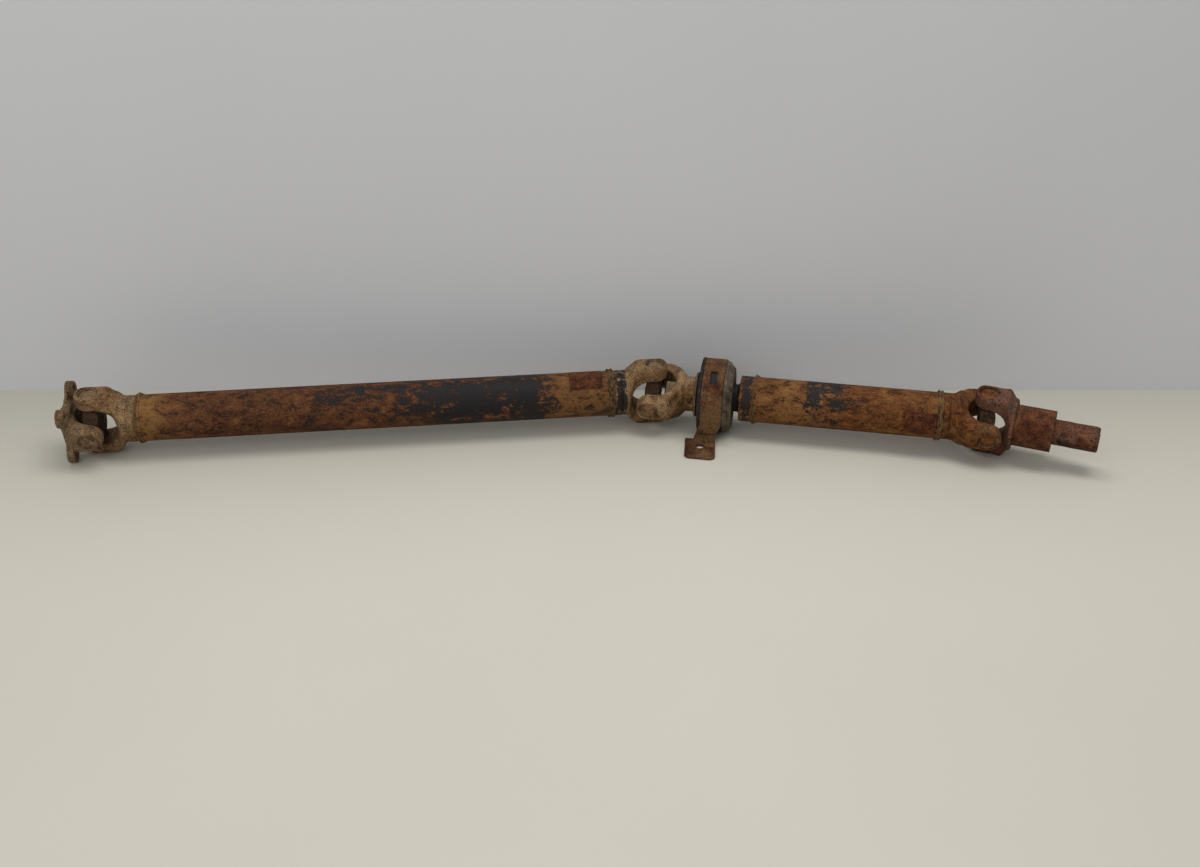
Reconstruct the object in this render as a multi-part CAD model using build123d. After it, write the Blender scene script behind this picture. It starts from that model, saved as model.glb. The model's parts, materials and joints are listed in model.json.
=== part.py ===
from build123d import *
import math
import os

# Two-piece propeller shaft of a four-wheel-drive pick-up, with three universal joints, a centre
# bearing in a strap bracket, a four-lug flange at the axle end and a splined slip yoke at the
# gearbox end. Millimetres. +X runs along the front shaft towards the slip yoke, +Z is up, and the
# origin is midway between the bracket's two bolt holes, on the underside of its feet.

# Where the three joints lie, as the shaft rests on a floor
centre_joint_to_bearing = 89.0
centre_to_front_joint = 466.0
rear_to_centre_joint = 781.0
rear_shaft_yaw = 17.9
slip_yoke_yaw = 13.0
shaft_roll = 13.0

# Tubes
tube_od = 65.0
tube_wall = 2.0
spigot_length = 16.0
spigot_wall = 7.0
weld_width = 6.5
weld_height = 1.6

# Universal joints: ears, bearing cups and crosses
ear_reach = 48.5
ear_half = 18.0
ear_round = 7.0
crotch_radius = 30.0
cup_radius = 13.5
cup_face = 44.5
cup_length = 18.0
cup_end_wall = 2.2
journal_radius = 8.5
journal_end_gap = 0.3
running_gap = 0.05
circlip_thickness = 1.6
circlip_depth = 1.3
circlip_width = 3.2
circlip_opening = 50.0
cross_arm_half = 10.5
cross_hub_half = 15.5
cross_shoulder = 23.0

# How far along each yoke its forms lie, from the centre of its joint
shoulder_bulge = 52.0
tube_yoke_crotch = 35.0
tube_yoke_shoulder_start = 16.0
tube_yoke_shoulder_end = 39.0
tube_yoke_shoulder_radius = 34.2
rear_weld_at = 63.0
front_yoke_crotch = 26.0
front_yoke_shoulder_start = 13.0
front_yoke_shoulder_end = 44.0
front_weld_at = 64.0
gusset_start = 30.0
gusset_run = 8.0
gusset_half = 27.0

# Flange yoke
flange_crotch = 23.0
flange_shoulder_start = 10.0
flange_back = 25.5
flange_face = 36.0
flange_bolt_circle = 88.0
flange_hole_radius = 5.25
flange_waist = 30.0
flange_waist_chamfer = 4.0
flange_waist_radius = 17.0
flange_core_radius = 34.0
pilot_radius = 25.0
pilot_depth = 3.0
flange_recess_radius = 14.0
flange_recess_depth = 4.0

# Centre yoke, its nut and the stub shaft that carries the bearing
centre_crotch = 34.0
centre_shoulder_start = 14.0
hub_start = 49.0
hub_end = 62.0
hub_radius = 25.0
hub_groove_depth = 0.9
hub_nose_radius = 21.0
spline_teeth = 18
spline_tip = 15.5
spline_root = 14.0
spline_gap = 0.05
washer_radius = 16.5
washer_thickness = 2.5
nut_height = 12.0
nut_across_flats = 27.0
thread_radius = 9.0
thread_stick_out = 2.0
neck_radius = 19.8
collar_start = 36.6
collar_weld_at = 59.0
collar_hollow_radius = 24.0
collar_hollow_start = 48.0

# Centre bearing, its rubber cushion and its steel shell
bearing_bore_radius = 17.5
bearing_outer_radius = 31.0
bearing_width = 14.0
carrier_wall = 2.0
carrier_lip = 1.8
cushion_radius = 49.4
shell_wall = 1.6
shell_shoulder_at = 19.0
shell_face_at = 27.0
shell_face_radius = 42.0
shell_hole_radius = 23.5
cushion_lip_radius = 54.6
cushion_lip_width = 4.0
cushion_face_at = 23.0
cushion_face_radius = 35.0
deflector_thickness = 1.5
aft_deflector_radius = 32.0
fore_deflector_radius = 30.0
fore_deflector_at = 19.0

# Strap bracket
strap_width = 30.0
strap_thickness = 3.0
leg_width = 27.0
leg_lean = 11.0
leg_joggle = 3.0
leg_joggle_height = 15.0
foot_outer = 101.0
foot_width = 43.0
foot_skew = 6.0
foot_thickness = 4.0
foot_corner = 8.0
foot_hole_spacing = 140.0
foot_hole_radius = 5.75
foot_slot_length = 13.5
foot_rim_width = 3.2
foot_rim_height = 1.0
bend_radius = 4.0
window_width = 9.0
window_length = 20.0
window_angle = 55.0

# Slip yoke
slip_crotch = 30.0
slip_shoulder_start = 22.0
slip_base_start = 34.0
slip_base_end = 38.5
slip_base_radius = 36.0
sleeve_seat_length = 12.0
sleeve_radius = 28.5
sleeve_wall = 1.7
sleeve_end = 89.0
barrel_radius = 17.5
barrel_end = 148.0
barrel_chamfer = 2.0
slip_teeth = 22
slip_spline_tip = 11.6
slip_spline_root = 13.2
lead_in_radius = 13.8
lead_in_length = 12.0
slip_bore_start = 34.0
plug_radius = 14.6
plug_thickness = 2.0

# Balance weights: length, middle along the shaft, and angle round it from the camera side
weight_thickness = 3.0
weight_spread = 52.0
rear_weight_length = 45.0
rear_weight_at = 100.0
rear_weight_angle = 80.0
front_aft_weight_length = 47.0
front_aft_weight_at = 88.5
front_aft_weight_angle = -28.0
front_fore_weight_length = 43.0
front_fore_weight_at = 90.0
front_fore_weight_angle = 105.0

tube_radius = tube_od / 2
tube_bore_radius = tube_radius - tube_wall
bearing_pitch = (bearing_bore_radius + bearing_outer_radius) / 2


def ear_support(tilt):
    """Height of the joint's centre over a floor that a tilted ear touches with its rounded corner."""
    side = ear_half - ear_round
    top = ear_reach - ear_round
    lean = tilt - math.degrees(math.atan2(side, top))
    return math.hypot(side, top) * math.cos(math.radians(lean)) + ear_round


# Directions of the shafts and of the joint pins, as the shaft lies
up = Vector(0, 0, 1)
front_direction = Vector(1, 0, 0)
rear_direction = Vector(1, 0, 0).rotate(Axis.Z, rear_shaft_yaw)
slip_direction = Vector(1, 0, 0).rotate(Axis.Z, -slip_yoke_yaw)
rear_pin = up.rotate(Axis((0, 0, 0), rear_direction), shaft_roll)
flange_pin = rear_direction.cross(rear_pin).normalized()
front_pin = front_direction.cross(rear_pin).normalized()
slip_pin = front_pin.cross(slip_direction).normalized()

slip_tilt = slip_pin.get_angle(up)
axis_height = max(ear_support(shaft_roll), ear_support(slip_tilt))
lug_radius = axis_height - flange_bolt_circle / 2 * math.cos(math.radians(45 - shaft_roll))

bearing_centre = Vector(leg_lean, 0, axis_height)
centre_joint = bearing_centre - front_direction * centre_joint_to_bearing
front_joint = centre_joint + front_direction * centre_to_front_joint
rear_joint = centre_joint - rear_direction * rear_to_centre_joint

# Frames: each shaft's X runs along it, away from the joint, and Z is the pin of its own yoke
rear_frame = Plane(origin=rear_joint, x_dir=rear_direction, z_dir=rear_pin)
rear_fore_frame = Plane(origin=centre_joint, x_dir=-rear_direction, z_dir=rear_pin)
flange_frame = Plane(origin=rear_joint, x_dir=-rear_direction, z_dir=flange_pin)
bearing_frame = Plane(origin=bearing_centre, x_dir=front_direction, z_dir=front_pin)
centre_frame = Plane(origin=centre_joint, x_dir=front_direction, z_dir=front_pin)
front_yoke_frame = Plane(origin=front_joint, x_dir=-front_direction, z_dir=front_pin)
slip_frame = Plane(origin=front_joint, x_dir=slip_direction, z_dir=slip_pin)
upright_frame = Plane(origin=bearing_centre, x_dir=front_direction, z_dir=up)


def turned(points):
    """Solid turned about the X axis from (x, radius) points."""
    return revolve(make_face(Polyline(*points, close=True)), Axis.X)


def rod(radius, start, end):
    """Round bar on the X axis from start to end."""
    return Plane(origin=(start, 0, 0), z_dir=(1, 0, 0)) * extrude(Circle(radius), end - start)


def tube_ring(outer, inner, start, end):
    """Hollow round bar on the X axis."""
    return rod(outer, start, end) - rod(inner, start - 1, end + 1)


def pin_rod(radius, start, end):
    """Round bar on the Z axis from start to end."""
    return Pos(0, 0, start) * extrude(Circle(radius), end - start)


def both_ears(part):
    """The part and its twin on the other side of the shaft."""
    return [part, Rot(180, 0, 0) * part]


def toothed_face(root, tip, teeth, share):
    """Face with straight-sided spline teeth, looking along the X axis."""
    pitch = 2 * math.pi / teeth
    foot = pitch * share * 0.62
    crest = pitch * share * 0.38
    points = []
    for tooth in range(teeth):
        middle = tooth * pitch
        for radius, offset in ((root, -foot), (tip, -crest), (tip, crest), (root, foot)):
            angle = middle + offset
            points.append((radius * math.cos(angle), radius * math.sin(angle)))
    return make_face(Polyline(*points, close=True))


def splined_bar(root, tip, teeth, share, start, end):
    """Toothed bar on the X axis from start to end."""
    face = toothed_face(root, tip, teeth, share)
    return Plane(origin=(start, 0, 0), z_dir=(1, 0, 0)) * extrude(face, end - start)


def ear_blocks(end):
    """Two ears and the web between them before the crotch is cut: round tips, rounded corners."""
    plan = Circle(ear_half) + Pos(end / 2, 0) * Rectangle(end, 2 * ear_half)
    section = RectangleRounded(2 * ear_half, 2 * ear_reach, ear_round)
    across = Plane(origin=(-ear_half - 1, 0, 0), x_dir=(0, 1, 0), z_dir=(1, 0, 0))
    return extrude(plan, ear_reach, both=True) & (across * extrude(section, end + ear_half + 1))


def shoulder_bell(start, end, end_radius):
    """Bell of two cones that trims the outside of the ears where they run down into the base."""
    tip = -ear_half - 1
    reach = end - start
    drop = shoulder_bulge - end_radius
    return turned(
        (
            (tip, 0),
            (tip, shoulder_bulge),
            (start, shoulder_bulge),
            (start + 0.4 * reach, shoulder_bulge - 0.2 * drop),
            (end, end_radius),
            (end, 0),
        )
    )


def gusset(start, end):
    """Web that spreads from the ears' width at start to its full width, and runs on to the end."""
    spread = start + gusset_run
    outline = Polyline(
        (start - 2, ear_half - 1),
        (start, ear_half),
        (spread, gusset_half),
        (end, gusset_half),
        (end, -gusset_half),
        (spread, -gusset_half),
        (start, -ear_half),
        (start - 2, -ear_half + 1),
        close=True,
    )
    return extrude(make_face(outline), ear_reach, both=True)


def crotch_cut(depth):
    """Round-bottomed slot between the ears, right through the yoke."""
    bend_at = depth - crotch_radius
    mouth = -ear_half - 5
    walls = Polyline(
        (bend_at, -crotch_radius), (mouth, -crotch_radius), (mouth, crotch_radius), (bend_at, crotch_radius)
    )
    bottom = ThreePointArc((bend_at, crotch_radius), (depth, 0), (bend_at, -crotch_radius))
    return Plane.XZ * extrude(make_face(walls + bottom), 2 * ear_reach, both=True)


def ear_machining():
    """Bores for the cups and grooves for their circlips, in both ears."""
    bore = pin_rod(cup_radius, -ear_reach - 5, ear_reach + 5)
    groove = pin_rod(cup_radius + circlip_depth, cup_face, cup_face + circlip_thickness)
    cuts = bore
    for ear in both_ears(groove):
        cuts += ear
    return cuts


def yoke(crotch, web_start, shoulder_start, shoulder_end, shoulder_radius, base):
    """Forged yoke: ears trimmed by a bell, joined to a turned base, slotted and bored."""
    ears = ear_blocks(shoulder_end) + gusset(web_start, shoulder_end)
    forging = (ears & shoulder_bell(shoulder_start, shoulder_end, shoulder_radius)) + base
    return forging - crotch_cut(crotch) - ear_machining()


def tube_yoke_base(start, weld_at):
    """Neck of a tube yoke with the spigot that goes into the tube, hollow at its end."""
    neck = rod(tube_radius, start, weld_at)
    spigot = rod(tube_bore_radius, weld_at, weld_at + spigot_length)
    hollow = rod(tube_bore_radius - spigot_wall, weld_at - 8, weld_at + spigot_length)
    return neck + spigot - hollow


def rear_tube_yoke():
    base = tube_yoke_base(tube_yoke_shoulder_end - 1, rear_weld_at)
    return yoke(
        tube_yoke_crotch,
        gusset_start,
        tube_yoke_shoulder_start,
        tube_yoke_shoulder_end,
        tube_yoke_shoulder_radius,
        base,
    )


def front_tube_yoke():
    base = tube_yoke_base(gusset_start + gusset_run, front_weld_at)
    return yoke(
        front_yoke_crotch,
        gusset_start,
        front_yoke_shoulder_start,
        front_yoke_shoulder_end,
        tube_radius,
        base,
    )


def flange_outline():
    """Four round lugs at 45 degrees to the pins, joined by waists that curve inwards."""
    core = Circle(flange_core_radius)
    outline = core
    for angle in (45, 135, 225, 315):
        lug_at = flange_bolt_circle / 2
        arm = Pos(lug_at / 2, 0) * Rectangle(lug_at, 2 * lug_radius)
        lug = arm + Pos(lug_at, 0) * Circle(lug_radius)
        outline += Rot(0, 0, angle) * lug
    for angle in (0, 90, 180, 270):
        bite = Pos(flange_waist + flange_waist_radius, 0) * Circle(flange_waist_radius)
        outline -= Rot(0, 0, angle) * bite
    return outline


def flange_yoke():
    """Short yoke on a thick four-lug flange with a pilot recess in its face."""
    flange_plane = Plane(origin=(flange_back, 0, 0), x_dir=(0, 1, 0), z_dir=(1, 0, 0))
    plate = flange_plane * extrude(flange_outline(), flange_face - flange_back)
    clearance = turned(
        (
            (flange_back - 1, flange_waist - flange_waist_chamfer - 1),
            (flange_back - 1, flange_waist + 12),
            (flange_back + flange_waist_chamfer + 3, flange_waist + 12),
            (flange_back + flange_waist_chamfer + 3, flange_waist + 2),
        )
    )
    plate -= clearance & Pos(flange_back, 0, 0) * Box(2 * flange_face, 4 * ear_reach, 2 * ear_half + 4)
    forging = yoke(
        flange_crotch, flange_back, flange_shoulder_start, flange_face - 1, flange_core_radius, plate
    )
    face_cut = rod(pilot_radius, flange_face - pilot_depth, flange_face + 5)
    recess = rod(flange_recess_radius, flange_face - pilot_depth - flange_recess_depth, flange_face)
    beyond = rod(200, flange_face, flange_face + 50)
    holes = None
    for angle in (45, 135, 225, 315):
        hole = rod(flange_hole_radius, flange_back - 5, flange_face + 5)
        turned_hole = Rot(angle, 0, 0) * Pos(0, flange_bolt_circle / 2, 0) * hole
        holes = turned_hole if holes is None else holes + turned_hole
    return forging - face_cut - recess - beyond - holes


def centre_yoke():
    """Yoke with a long splined hub, two turned grooves and a nose that meets the bearing."""
    nose_end = centre_joint_to_bearing - bearing_width / 2
    full_web = gusset_start + gusset_run
    hub = turned(
        (
            (full_web, 0),
            (full_web, hub_radius),
            (hub_start + 6, hub_radius),
            (hub_start + 7, hub_radius - hub_groove_depth),
            (hub_start + 8, hub_radius),
            (hub_end - 2, hub_radius),
            (hub_end - 1, hub_radius - hub_groove_depth),
            (hub_end, hub_radius),
            (hub_end, hub_nose_radius),
            (nose_end, hub_nose_radius),
            (nose_end, 0),
        )
    )
    forging = yoke(centre_crotch, gusset_start, centre_shoulder_start, hub_start, hub_radius, hub)
    washer_seat = rod(washer_radius + 0.5, centre_crotch - 12, centre_crotch)
    seat_start = nose_end - 10
    root = spline_root + spline_gap
    splines = splined_bar(
        root, spline_tip + spline_gap, spline_teeth, 0.54, centre_crotch - 1, seat_start
    )
    seat = rod(bearing_bore_radius, seat_start, nose_end + 1)
    return forging - washer_seat - splines - seat


def stub_shaft():
    """Stub with thread, splines, bearing seat, neck and a hollow collar for the front tube."""
    crotch_at = centre_crotch - centre_joint_to_bearing
    thread_end = crotch_at - washer_thickness - nut_height - thread_stick_out
    half = bearing_width / 2
    spigot_end = collar_weld_at + spigot_length
    body = turned(
        (
            (thread_end, 0),
            (thread_end, thread_radius - 1),
            (thread_end + 1, thread_radius),
            (crotch_at + 3, thread_radius),
            (crotch_at + 3, spline_root - 0.5),
            (-half - 10, spline_root - 0.5),
            (-half - 10, bearing_bore_radius),
            (half, bearing_bore_radius),
            (half, neck_radius),
            (collar_start - 3, neck_radius),
            (collar_start, neck_radius + 3),
            (collar_start, tube_radius - 1),
            (collar_start + 1, tube_radius),
            (collar_weld_at, tube_radius),
            (collar_weld_at, tube_bore_radius),
            (spigot_end, tube_bore_radius - 0.5),
            (spigot_end, collar_hollow_radius),
            (collar_hollow_start, collar_hollow_radius),
            (collar_hollow_start, 0),
        )
    )
    teeth = splined_bar(spline_root, spline_tip, spline_teeth, 0.5, crotch_at + 4, -half - 10)
    return body + teeth


def nut():
    crotch_at = centre_crotch - centre_joint_to_bearing
    nut_start = crotch_at - washer_thickness - nut_height
    nut_face = RegularPolygon(nut_across_flats / 2, 6, major_radius=False)
    blank = Plane(origin=(nut_start, 0, 0), z_dir=(1, 0, 0)) * extrude(nut_face, nut_height)
    return blank - rod(thread_radius, nut_start - 1, nut_start + nut_height + 1)


def washer():
    crotch_at = centre_crotch - centre_joint_to_bearing
    return tube_ring(washer_radius, thread_radius + 0.3, crotch_at - washer_thickness, crotch_at)


def inner_race():
    """Inner ring, out to the middle of the balls, which are left out."""
    half = bearing_width / 2
    return tube_ring(bearing_pitch, bearing_bore_radius, -half, half)


def outer_race():
    half = bearing_width / 2
    return tube_ring(bearing_outer_radius, bearing_pitch + running_gap, -half, half)


def carrier():
    """Steel sleeve round the bearing, with a lip on the side of the front tube."""
    half = bearing_width / 2
    outer = bearing_outer_radius + carrier_wall
    return turned(
        (
            (-half - 3, bearing_outer_radius),
            (-half - 3, outer),
            (half + carrier_lip, outer),
            (half + carrier_lip, bearing_outer_radius - 3),
            (half, bearing_outer_radius - 3),
            (half, bearing_outer_radius),
        )
    )


def cushion():
    """Rubber ring with a bulging face, an outer lip over the shell's edge and a void on one side."""
    carrier_radius = bearing_outer_radius + carrier_wall
    half_strap = strap_width / 2
    lip_start = -half_strap - cushion_lip_width
    return turned(
        (
            (bearing_width / 2, carrier_radius),
            (-cushion_face_at, carrier_radius),
            (-cushion_face_at, cushion_face_radius),
            (lip_start, cushion_lip_radius - 1),
            (lip_start + 1.5, cushion_lip_radius),
            (-half_strap, cushion_lip_radius),
            (-half_strap, cushion_radius),
            (half_strap - 3, cushion_radius),
            (half_strap - 3, cushion_radius - 7),
            (2, cushion_radius - 7),
            (2, carrier_radius + 5),
            (bearing_width / 2, carrier_radius + 5),
        )
    )


def shell():
    """Pressed steel cup round the cushion, open towards the yoke."""
    half_strap = strap_width / 2
    outer = cushion_radius + shell_wall
    return turned(
        (
            (-half_strap, cushion_radius),
            (-half_strap, outer),
            (shell_shoulder_at, outer),
            (shell_face_at, shell_face_radius),
            (shell_face_at, shell_hole_radius),
            (shell_face_at - shell_wall, shell_hole_radius),
            (shell_face_at - shell_wall, shell_face_radius - 1),
            (shell_shoulder_at - 1, cushion_radius),
        )
    )


def aft_deflector():
    """Pressed ring between the hub and its nose that throws water off the cushion."""
    start = hub_end - centre_joint_to_bearing
    rim = tube_ring(aft_deflector_radius, aft_deflector_radius - 1.2, start, start + 2.6)
    return rim + tube_ring(aft_deflector_radius, hub_nose_radius, start, start + deflector_thickness)


def fore_deflector():
    """Pressed ring on the stub's neck, behind the face of the shell."""
    end = fore_deflector_at + deflector_thickness
    return tube_ring(fore_deflector_radius, neck_radius, fore_deflector_at, end)


def foot():
    """One foot of the bracket, on the +Y side, with slanted sides, its slotted hole and raised rim."""
    leg_face = cushion_radius + shell_wall + strap_thickness
    inner = leg_face - leg_joggle - strap_thickness
    hole_at = foot_hole_spacing / 2
    half = foot_width / 2
    slope = math.tan(math.radians(foot_skew))
    start = (inner - hole_at) * slope
    end = (foot_outer - hole_at) * slope
    outline = make_face(
        Polyline(
            (start - half, inner),
            (start + half, inner),
            (end + half, foot_outer),
            (end - half, foot_outer),
            close=True,
        )
    )
    plate = extrude(fillet(outline.vertices().sort_by(Axis.Y)[-2:], foot_corner), foot_thickness)
    slot = Rot(0, 0, 90) * SlotOverall(foot_slot_length, 2 * foot_hole_radius)
    rim = Rot(0, 0, 90) * SlotOverall(
        foot_slot_length + 2 * foot_rim_width, 2 * (foot_hole_radius + foot_rim_width)
    )
    plate += Pos(0, hole_at, 0) * extrude(rim, foot_thickness + foot_rim_height)
    return plate - Pos(0, hole_at, -1) * extrude(slot, 2 * foot_thickness + foot_rim_height)


def bracket_leg():
    """Lower end of the strap on the +Y side: upright beside the rubber's lip, then leaning, joggled
    inwards, and the foot."""
    leg_face = cushion_radius + shell_wall + strap_thickness
    inner = leg_face - strap_thickness
    low_inner = inner - leg_joggle
    low_face = leg_face - leg_joggle
    outline = Polyline(
        (inner, axis_height),
        (inner, leg_joggle_height + leg_joggle),
        (low_inner, leg_joggle_height),
        (low_inner, 0),
        (low_face + bend_radius, 0),
        (low_face + bend_radius, foot_thickness),
    )
    outline += ThreePointArc(
        (low_face + bend_radius, foot_thickness),
        (
            low_face + bend_radius * (1 - math.sqrt(0.5)),
            foot_thickness + bend_radius * (1 - math.sqrt(0.5)),
        ),
        (low_face, foot_thickness + bend_radius),
    )
    outline += Polyline(
        (low_face, foot_thickness + bend_radius),
        (low_face, leg_joggle_height - 1),
        (leg_face, leg_joggle_height + leg_joggle - 1),
        (leg_face, axis_height),
        (inner, axis_height),
    )
    side = Plane.YZ * extrude(make_face(outline), leg_lean + strap_width, both=True)
    upright_to = axis_height - 1 - math.sqrt(cushion_lip_radius**2 - inner**2)
    front = make_face(
        Polyline(
            (-leg_width / 2, 0),
            (leg_width / 2, 0),
            (leg_lean + strap_width / 2, upright_to),
            (leg_lean + strap_width / 2, axis_height),
            (leg_lean - strap_width / 2, axis_height),
            (leg_lean - strap_width / 2, upright_to),
            close=True,
        )
    )
    return (side & (Plane.XZ * extrude(front, 2 * leg_face, both=True))) + foot()


def bracket():
    """Strap that arches over the shell, with a window, two legs and two slotted feet."""
    inner = cushion_radius + shell_wall
    outer = inner + strap_thickness
    half = strap_width / 2
    arch = split(tube_ring(outer, inner, -half, half), Plane.XY, keep=Keep.TOP)
    window = Pos(0, 0, outer - 2) * Box(window_width, window_length, 12)
    window = Rot(90 - window_angle, 0, 0) * window
    arch = Pos(leg_lean, 0, axis_height) * (arch - window)
    right = bracket_leg()
    return arch + right + mirror(right, about=Plane.XZ)


def cross():
    """Forged cross with tapered arms and four ground journals."""
    journal_end = cup_face - cup_end_wall - journal_end_gap
    corner = (cross_hub_half, cross_hub_half)
    arm_outline = Polyline(
        (0, 0), corner, (cross_shoulder, cross_arm_half), (cross_shoulder, -cross_arm_half),
        (cross_hub_half, -cross_hub_half), close=True,
    )
    arm_side = Polyline(
        (0, cross_hub_half - 3), (cross_shoulder, cross_arm_half - 1.5),
        (cross_shoulder, 1.5 - cross_arm_half), (0, 3 - cross_hub_half), close=True,
    )
    forged = extrude(make_face(arm_outline), cross_hub_half, both=True)
    forged &= Plane.XZ * extrude(make_face(arm_side), 2 * cross_hub_half, both=True)
    arm = forged + rod(journal_radius, cross_shoulder - 1, journal_end)
    body = arm
    for angle in (90, 180, 270):
        body += Rot(0, 0, angle) * arm
    return body


def cup():
    """Closed bearing cup on the +Z side of the joint, with its mouth towards the cross."""
    mouth = cup_face - cup_length
    bore_radius = journal_radius + running_gap
    return pin_rod(cup_radius, mouth, cup_face) - pin_rod(bore_radius, mouth - 1, cup_face - cup_end_wall)


def circlip():
    """Open circlip in the ear's groove, just outside the cup."""
    outer = cup_radius + circlip_depth
    ring = pin_rod(outer, cup_face, cup_face + circlip_thickness)
    ring -= pin_rod(outer - circlip_width, cup_face - 1, cup_face + circlip_thickness + 1)
    half = math.radians(circlip_opening / 2)
    gap = make_face(
        Polyline(
            (0, 0),
            (2 * outer, -2 * outer * math.tan(half)),
            (2 * outer, 2 * outer * math.tan(half)),
            close=True,
        )
    )
    return ring - Pos(0, 0, cup_face - 1) * extrude(gap, circlip_thickness + 2)


def balance_weight(length, middle, angle):
    """Curved plate welded on the tube; the angle is measured from the shaft's Y axis towards Z."""
    profile = Pos(middle, tube_radius + weight_thickness / 2) * Rectangle(length, weight_thickness)
    plate = revolve(profile, Axis.X, weight_spread)
    return Rot(angle - weight_spread / 2, 0, 0) * plate


def weld_ring(middle):
    """Weld bead round the end of a tube."""
    half = weld_width / 2
    return tube_ring(tube_radius + weld_height, tube_radius, middle - half, middle + half)


def welded_tube(start, end):
    """Plain tube with the weld beads that join it to the forgings at both ends."""
    tube = tube_ring(tube_radius, tube_bore_radius, start, end)
    return tube + weld_ring(start) + weld_ring(end)


def slip_yoke():
    """Yoke on a long ground barrel with internal splines."""
    seat = sleeve_radius - sleeve_wall
    seat_end = slip_base_end + sleeve_seat_length
    base = rod(slip_base_radius, slip_base_start, slip_base_end) + rod(seat, slip_base_end, seat_end)
    base += rod(barrel_radius, seat_end, barrel_end)
    base = chamfer(base.edges().sort_by(Axis.X)[-1], barrel_chamfer)
    web_start = slip_base_start - gusset_run - 1
    forging = yoke(
        slip_crotch, web_start, slip_shoulder_start, slip_base_start, slip_base_radius, base
    )
    lead_in = rod(lead_in_radius, barrel_end - lead_in_length, barrel_end + 5)
    splines = splined_bar(
        slip_spline_tip, slip_spline_root, slip_teeth, 0.5, slip_bore_start, barrel_end - lead_in_length
    )
    plug_seat = rod(plug_radius, slip_crotch - 12, slip_bore_start)
    return forging - lead_in - splines - plug_seat


def slip_plug():
    """Stepped plug that closes the yoke end of the splined bore."""
    edge = slip_bore_start - plug_thickness
    return rod(plug_radius, edge, slip_bore_start) + rod(plug_radius - 5, edge - 1.2, edge)


def dust_sleeve():
    """Pressed sleeve on the slip yoke that covers the gearbox seal."""
    return tube_ring(sleeve_radius, sleeve_radius - sleeve_wall, slip_base_end, sleeve_end)


def placed(frame, *parts):
    """The solids of some parts, moved from their frame to where they lie."""
    solids = []
    for part in parts:
        solids += (frame.location * part).solids()
    return solids


def save(name, solids):
    """Write the solids of one node."""
    shape = solids[0] if len(solids) == 1 else Compound(children=solids)
    export_step(shape, f"parts/{name}.step")


def cross_frame(origin, first_pin, second_pin):
    """Frame of a cross: X along one pin, Y along the other."""
    return Plane(origin=origin, x_dir=first_pin, z_dir=first_pin.cross(second_pin))


def save_rear_shaft():
    tube_end = rear_to_centre_joint - rear_weld_at
    weight = balance_weight(rear_weight_length, rear_weight_at, rear_weight_angle)
    end_yoke = rear_tube_yoke()
    save("rear_tube_yokes", placed(rear_frame, end_yoke) + placed(rear_fore_frame, end_yoke))
    save("rear_tube", placed(rear_frame, welded_tube(rear_weld_at, tube_end)))
    save("rear_balance_weight", placed(rear_fore_frame, weight))


def save_front_shaft():
    tube_end = centre_to_front_joint - centre_joint_to_bearing - front_weld_at
    aft_weight = balance_weight(front_aft_weight_length, front_aft_weight_at, front_aft_weight_angle)
    fore_weight = balance_weight(front_fore_weight_length, front_fore_weight_at, front_fore_weight_angle)
    save("centre_yoke", placed(centre_frame, centre_yoke()))
    save("centre_yoke_nut", placed(bearing_frame, nut()))
    save("centre_yoke_washer", placed(bearing_frame, washer()))
    save("stub_shaft", placed(bearing_frame, stub_shaft()))
    save("aft_dust_deflector", placed(bearing_frame, aft_deflector()))
    save("fore_dust_deflector", placed(bearing_frame, fore_deflector()))
    save("bearing_inner_race", placed(bearing_frame, inner_race()))
    save("front_tube", placed(bearing_frame, welded_tube(collar_weld_at, tube_end)))
    save("front_aft_balance_weight", placed(upright_frame, aft_weight))
    save("front_fore_balance_weight", placed(front_yoke_frame, fore_weight))
    save("front_tube_yoke", placed(front_yoke_frame, front_tube_yoke()))


def save_centre_bearing():
    save("bearing_outer_race", placed(bearing_frame, outer_race()))
    save("bearing_carrier", placed(bearing_frame, carrier()))
    save("rubber_cushion", placed(bearing_frame, cushion()))
    save("cushion_shell", placed(bearing_frame, shell()))
    save("bearing_bracket", placed(Plane.XY, bracket()))


def save_end_yokes():
    save("rear_flange_yoke", placed(flange_frame, flange_yoke()))
    save("slip_yoke", placed(slip_frame, slip_yoke()))
    save("slip_yoke_plug", placed(slip_frame, slip_plug()))
    save("slip_dust_sleeve", placed(slip_frame, dust_sleeve()))


def save_joints():
    """Crosses, and the cups and circlips of each shaft's yokes."""
    save("rear_joint_cross", placed(cross_frame(rear_joint, rear_pin, flange_pin), cross()))
    save("centre_joint_cross", placed(cross_frame(centre_joint, rear_pin, front_pin), cross()))
    save("front_joint_cross", placed(cross_frame(front_joint, front_pin, slip_pin), cross()))
    shafts = {
        "flange": [flange_frame],
        "rear_shaft": [rear_frame, rear_fore_frame],
        "front_shaft": [centre_frame, front_yoke_frame],
        "slip_yoke": [slip_frame],
    }
    for shaft, frames in shafts.items():
        cups = []
        circlips = []
        for frame in frames:
            cups += placed(frame, *both_ears(cup()))
            circlips += placed(frame, *both_ears(circlip()))
        save(f"{shaft}_cups", cups)
        save(f"{shaft}_circlips", circlips)


def main():
    os.makedirs("parts", exist_ok=True)
    save_rear_shaft()
    save_front_shaft()
    save_centre_bearing()
    save_end_yokes()
    save_joints()


main()
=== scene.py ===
import json
import math

import bmesh
import bpy
import numpy as np
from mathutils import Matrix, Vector, noise


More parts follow.
